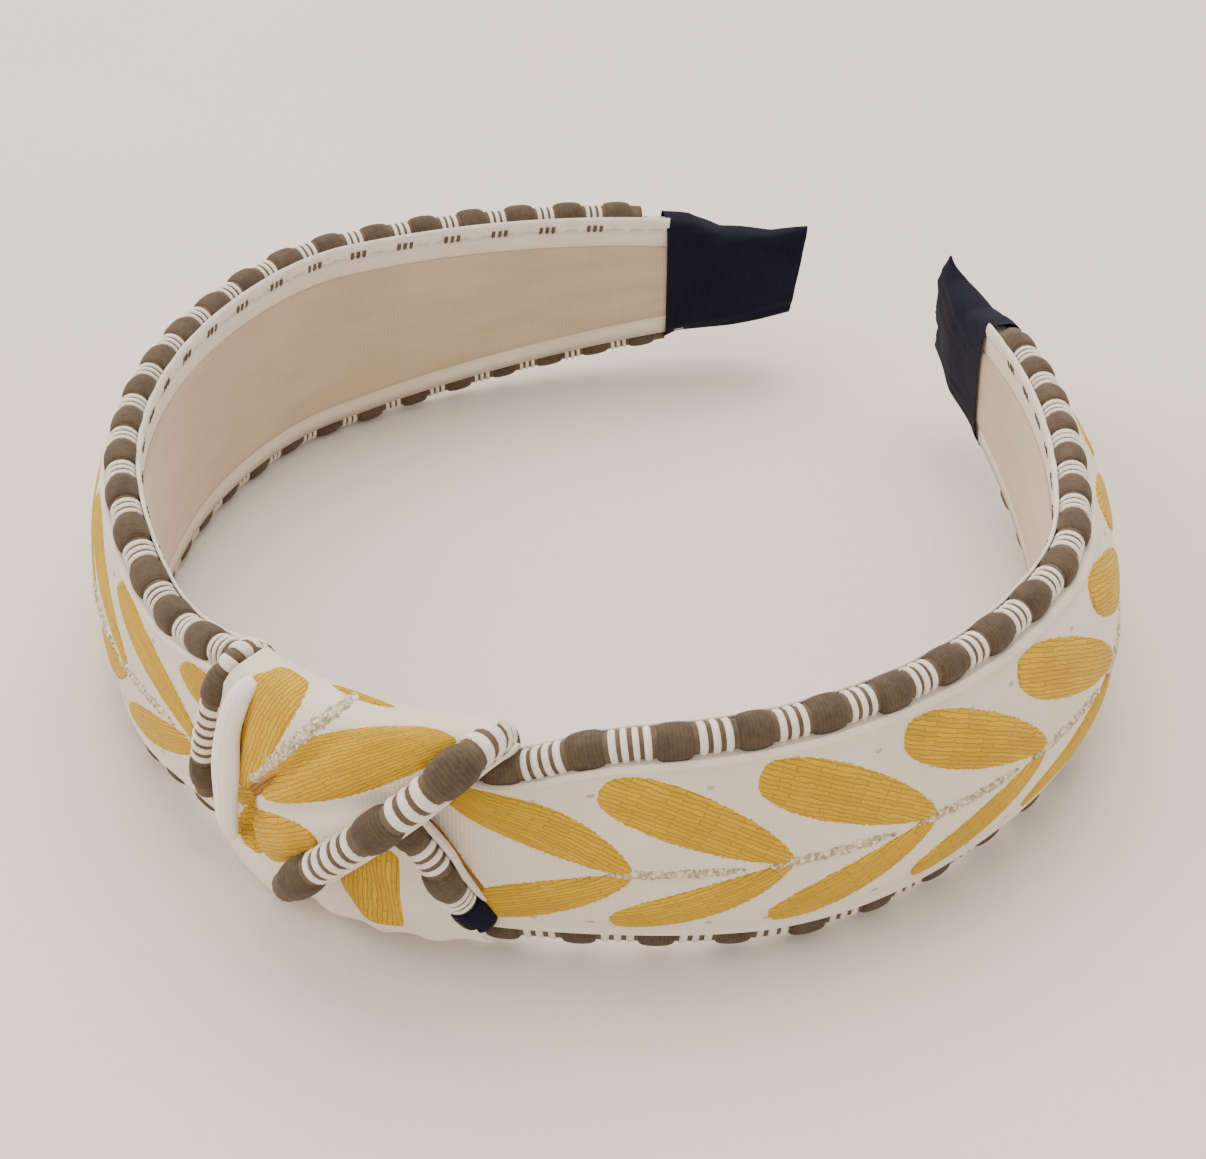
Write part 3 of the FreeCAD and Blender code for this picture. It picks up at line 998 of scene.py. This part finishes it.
# Degrees round the wrapped layer for a millimetre of its height on the front
ANGLE_PER_MM = 3.2
KNOT_LEAVES = (
    (((-6.6, -4.0), (-0.4, 10.5), (1.6, 29.4)), 4.3, (0.8, 0.3)),
    (((-1.5, 2.0), (13.2, 16.8), (22.2, 26.2)), 5.6, (0.75, 0.45)),
    (((-7.4, -9.6), (0.0, -4.6), (7.9, 1.0)), 3.5, (0.5, 0.5)),
    (((5.8, 31.0), (10.0, 30.2), (15.0, 29.8)), 1.3, (0.6, 0.6)),
)
# Painted shade in a rust-brown stitch colour: a sliver along the crease between two knot leaves, and one
# along the short trim's edge on the band
KNOT_CREASE_SHADE = (((-6.6, -4.4), (0.0, 3.6), (9.0, 16.2)), 0.75, (0.4, 0.8))
TRIM_EDGE_SHADE = (((19.4, 4.5), (22.4, -1.5), (27.4, -9.5)), 0.8, (0.5, 0.7))
KNOT_STEM = ((-1.0, 4.5), (8.0, 17.5), (9.6, 30.0))


def make_knot_leaves():
    rng = np.random.default_rng(21)
    builder = Builder()
    for spine, width, powers in KNOT_LEAVES:
        knot_leaf(builder, spine, width, rng, powers)
    add_piece(builder, "knot_leaves", LEAF_YARN, ("knot_wrap",), closed=False)

    # Rust-brown slivers that are painted shade: one in the knot's crease and one beside the short trim
    painted_shade = Builder()
    knot_leaf(painted_shade, KNOT_CREASE_SHADE[0], KNOT_CREASE_SHADE[1], rng, KNOT_CREASE_SHADE[2], 1.0)
    points, cloth = leaf_grid(TRIM_EDGE_SHADE[0], TRIM_EDGE_SHADE[1], cover_surface, rng, 0.5, TRIM_EDGE_SHADE[2])
    painted_shade.grid(points, cloth=cloth, flip=True)
    add_piece(painted_shade, "knot_painted_shade_thread", PAINTED_SHADE_YARN, ("knot_wrap",), closed=False)

    stem = Builder()
    t = np.linspace(0, 1, 60)
    line = bezier(KNOT_STEM, t)
    across = np.linspace(-1, 1, 7)
    width = 1.05 + 0.15 * np.sin(t * 40)
    runs = line[:, :1] + (width[:, None] * across[None, :]) * 0.8
    turns = line[:, 1:] - (width[:, None] * across[None, :]) * 0.6
    height = 0.55 * (1 - across[None, :] ** 2) + 0.12 * np.sin(t * 70)[:, None] - 0.05
    stem.grid(knot_point(runs, turns * ANGLE_PER_MM, height))
    add_piece(stem, "knot_stem", GLITTER, ("knot_wrap",), closed=False)


TUCK_FRONT = 6.2
DIAGONAL_FOOT = (1.2, 5.2)
DIAGONAL_HEAD = (20.0, 29.4)
SHORT_HEAD = (18.2, 22.6)
SHORT_FOOT = (25.8, 5.8)
TUCK_ENDS = (-1.4, 27.0)
TUCK_LEAF_ENDS = (8.6, 16.6)
TUCK_LOW_RUNS = (-1.4, 6.0, 15.5, 24.0, 27.0)
TUCK_LOWS = (0.35, 1.1, 3.6, 4.6, 4.8)


def tuck_point(run, z, height=0.0):
    """Point on the cloth tucked under the diagonal trim."""
    span = np.clip((run + 1.6) / 31.5, 0, 1)
    belly = np.sin(math.pi * span) ** 0.6
    roll = 1 - np.clip((4 - z) / 4, 0, 1) ** 2
    crease = 0.35 * np.sin(run * 0.9 + z * 0.5)
    return place(run, (3.2 + (TUCK_FRONT - 3.2) * belly) * roll + crease * roll + height, z - MID_HEIGHT)


def tuck_top(run):
    """Upper edge of the tucked cloth, under the diagonal trim and then under the short one."""
    slope = (DIAGONAL_HEAD[1] - DIAGONAL_FOOT[1]) / (DIAGONAL_HEAD[0] - DIAGONAL_FOOT[0])
    under_diagonal = DIAGONAL_FOOT[1] + (run - DIAGONAL_FOOT[0]) * slope
    fall = (SHORT_FOOT[1] - SHORT_HEAD[1]) / (SHORT_FOOT[0] - SHORT_HEAD[0])
    under_short = SHORT_HEAD[1] + (run - SHORT_HEAD[0]) * fall
    return np.minimum(under_diagonal, under_short)


def make_tuck():
    """Cloth below the diagonal trim, with the leaf that shows on it."""
    runs = np.linspace(*TUCK_ENDS, 70)[:, None]
    share = np.linspace(0, 1, 30)[None, :]
    low = np.interp(runs, TUCK_LOW_RUNS, TUCK_LOWS)
    z = low + (np.maximum(tuck_top(runs), low + 0.3) - low) * share
    builder = Builder()
    builder.grid(tuck_point(runs, z), cloth=cloth_map(runs, z))
    obj = add_piece(builder, "knot_tuck_cloth", LINEN, ("knot_tuck",), closed=False)

    leaf = Builder()
    first, last = TUCK_LEAF_ENDS
    runs = np.linspace(first, last, 40)[:, None]
    low = np.interp(runs, (first, 11.6, last), (9.6, 4.6, 4.2))
    high = np.interp(runs, (first, 14.6, last), (10.4, 18.4, 17.0))
    z = low + (high - low) * share
    edge = 1 - np.abs(2 * share - 1) ** 6
    ends = 1 - np.abs(2 * (runs - first) / (last - first) - 1) ** 8
    leaf.grid(tuck_point(runs, z, 0.45 * edge * ends - 0.08), cloth=cloth_map(z, runs))
    add_piece(leaf, "knot_tuck_leaf", LEAF_YARN, ("knot_tuck",), closed=False)


def curve_through(points, count=200):
    """Smooth curve (Catmull-Rom) through control points."""
    points = np.asarray(points, float)
    padded = np.concatenate([[2 * points[0] - points[1]], points, [2 * points[-1] - points[-2]]])
    spots = np.linspace(0, len(points) - 1 - 1e-6, count)
    index = spots.astype(int)
    t = (spots - index)[:, None]
    a, b, c, d = (padded[index + k] for k in range(4))
    return 0.5 * (2 * b + (c - a) * t + (2 * a - 5 * b + 4 * c - d) * t**2 + (3 * b - a - 3 * c + d) * t**3)


def knot_path(controls):
    """Path through (run, offset, height) controls; outwards is away from the band's middle."""
    line = curve_through(controls)
    points = place(line[:, 0], line[:, 1], line[:, 2] - MID_HEIGHT)
    middle = place(line[:, 0], -0.5, np.clip(line[:, 2] - MID_HEIGHT, -15, 15))
    return Path(points, points - middle)


LEFT_TRIM = (
    (-10.6, -4.2, 27.0), (-9.6, -2.6, 31.6), (-8.6, 0.0, 34.0), (-8.4, 2.4, 33.6), (-9.6, 4.2, 29.4),
    (-10.7, 5.0, 24.1), (-11.5, 5.2, 20.0), (-12.1, 4.8, 14.9), (-13.4, 3.8, 10.6),
)
DIAGONAL_TRIM = (
    (4.2, 10.4, 10.2), (6.8, 10.6, 13.7), (11.4, 10.7, 19.4), (16.1, 10.3, 25.1), (20.1, 9.2, 29.8),
    (23.0, 7.8, 33.2), (25.2, 5.4, 35.0), (26.6, 2.0, 34.8), (26.9, -1.4, 32.6), (26.5, -3.2, 29.6),
    (26.2, -3.8, 25.4),
)
SHORT_TRIM = (
    (17.4, 7.2, 23.8), (19.4, 6.9, 20.9), (21.0, 6.3, 17.6), (22.0, 5.4, 13.8), (23.8, 3.8, 9.2),
    (25.8, 2.0, 5.8),
)
WHITE_FOLD = ((-2.4, 4.4, 36.0), (-3.3, 6.4, 34.0), (-4.4, 7.6, 29.2), (-4.9, 8.2, 22.6), (-5.6, 8.0, 15.6),
              (-6.8, 6.4, 9.4))


# Each trim on the knot: its route, bead centres, bead length, thickness and ring pitch
SHORT_BEADS = (0.8, 10.4, 18.2)
KNOT_TRIMS = {
    "left": (LEFT_TRIM, (2.8, 14.6, 29.6), 5.2, 0.88, 1.75),
    "diagonal": (DIAGONAL_TRIM, (4.2, 20.4, 33.2, 47.4), 6.2, 1.1, 2.0),
    "short": (SHORT_TRIM, SHORT_BEADS, 5.2, 1.0, 1.6),
}
# Each flange: where it starts and ends along its trim, then its first and last angle
FLANGES = {"diagonal": ((2.0, 44.0), (196, 262)), "short": ((1.0, 20.0), (92, 150))}
FLANGE_RADIUS = 2.85
FLANGE_THICKNESS = 0.5
BINDING_LENGTH = 5.4
BINDING_THICKNESS = 0.12


def make_knot_trims():
    for which, (route, beads, bead_length, scale, pitch) in KNOT_TRIMS.items():
        nodes = (f"knot_trim_{which}",)
        path = knot_path(route)
        trim_pieces(f"knot_{which}_trim", path, beads, bead_length, nodes, scale=scale, pitch=pitch)
    navy = Builder()
    spots, radii = bead_shape(SHORT_BEADS[-1], BINDING_LENGTH, BEAD_RADIUS + BINDING_THICKNESS)
    round_section(navy, knot_path(SHORT_TRIM), spots, radii, 22)
    add_piece(navy, "knot_navy_binding", NAVY, ("knot_trim_short",))
    for which, (ends, angles) in FLANGES.items():
        distances = np.linspace(*ends, 90)[:, None]
        turns = np.radians(np.linspace(*angles, 6))[None, :]
        strip = arc_strip(knot_path(KNOT_TRIMS[which][0]), distances, turns, FLANGE_RADIUS, FLANGE_THICKNESS)
        add_piece(strip, f"knot_{which}_flange", WHITE_YARN, (f"knot_trim_{which}",))


def make_white_fold():
    """Rolled edge of the wrapped cloth, beside the left trim."""
    path = knot_path(WHITE_FOLD)
    distances = np.linspace(0.2, path.length - 0.2, 90)
    share = distances / path.length
    angles = np.linspace(0, 2 * math.pi, 26, endpoint=False)[None, :]
    swell = (0.42 + 0.58 * np.sin(math.pi * np.clip(share, 0, 1)) ** 0.6)[:, None]
    soft = 1 + 0.05 * np.sin(share * 16)[:, None]
    out = 1.35 * swell * soft * np.cos(angles)
    across = 2.0 * swell * soft * np.sin(angles)
    points = path.at(distances[:, None], out, across)
    builder = Builder()
    builder.grid(points, close_columns=True, caps=True, cloth=cloth_map(angles * 2, distances[:, None]))
    obj = add_piece(builder, "knot_fold_roll", FOLD_LINEN, ("knot_fold",))


# ---- stage, light and camera

CAMERA_PLACE = (0.1595, -0.2348, 0.2247)
CAMERA_FLAT_DIRECTION = (-0.5635, 0.8261)
CAMERA_PITCH = 37.52
CAMERA_LENS = 72.63


def make_camera():
    camera_data = bpy.data.cameras.new("camera")
    camera_data.lens = CAMERA_LENS
    camera_data.sensor_width = 36.0
    camera_data.sensor_fit = "HORIZONTAL"
    camera_data.clip_start = 0.01
    camera = bpy.data.objects.new("camera", camera_data)
    bpy.context.collection.objects.link(camera)
    camera.location = CAMERA_PLACE
    pitch = math.radians(CAMERA_PITCH)
    flat = Vector(CAMERA_FLAT_DIRECTION).normalized()
    direction = Vector((flat.x * math.cos(pitch), flat.y * math.cos(pitch), -math.sin(pitch)))
    camera.rotation_euler = direction.to_track_quat("-Z", "Y").to_euler()
    bpy.context.scene.camera = camera


def make_floor():
    material = new_material("pale_fleece", (0.74, 0.68, 0.62), 0.95, sheen=0.1, specular=0.1)
    nodes = Nodes(material)
    fleece = nodes.noise(nodes.object_space(), 650.0, 5.0, 0.65)
    patches = nodes.noise(nodes.object_space(), 9.0, 2.0)
    shade = nodes.sum_of(fleece, 0.35, patches, 0.65)
    nodes.colour(nodes.ramp(shade, [(0.25, (0.755, 0.675, 0.60)), (0.75, (0.81, 0.735, 0.665))]))
    nodes.bump(fleece, 0.25, 0.0006)
    reach = 12.0
    corners = [(-reach, -reach, 0), (reach, -reach, 0), (reach, reach, 0), (-reach, reach, 0)]
    floor = mesh_object("floor", corners, [(0, 1, 2, 3)], material, smooth=False)


def add_light(name, place_at, aim, size, power, colour):
    light_data = bpy.data.lights.new(name, "AREA")
    light_data.shape = "DISK"
    light_data.size = size
    light_data.energy = power
    light_data.color = colour
    light = bpy.data.objects.new(name, light_data)
    bpy.context.collection.objects.link(light)
    light.location = place_at
    light.rotation_euler = (Vector(aim) - Vector(place_at)).to_track_quat("-Z", "Y").to_euler()


def make_light():
    world = bpy.data.worlds.new("room")
    world.use_nodes = True
    background = world.node_tree.nodes["Background"]
    background.inputs["Color"].default_value = (1.0, 0.945, 0.885, 1.0)
    background.inputs["Strength"].default_value = 1.28
    bpy.context.scene.world = world
    add_light("ceiling", (-0.35, 0.55, 1.25), (0, 0, 0), 1.2, 17.0, (1.0, 0.95, 0.88))
    add_light("window", (-0.9, -0.7, 0.9), (0, 0, 0), 1.0, 8.0, (1.0, 0.97, 0.95))


# ---- everything

for half in HALVES:
    make_hoop(half)
    make_padding(half)
    make_cover(half)
    make_lining(half)
    make_leaves(half)
    make_stem(half)
    make_stitches(half)
make_band_trim("right", 1, RIGHT_BEADS)
make_band_trim("right", -1, RIGHT_LOWER_BEADS)
make_band_trim("left", 1, LEFT_BEADS)
make_band_trim("left", -1, LEFT_LOWER_BEADS)
for half in HALVES:
    make_tip(half)
make_frays("right")
make_wrap()
make_knot_leaves()
make_tuck()
make_white_fold()
make_knot_trims()

make_floor()
make_light()
make_camera()
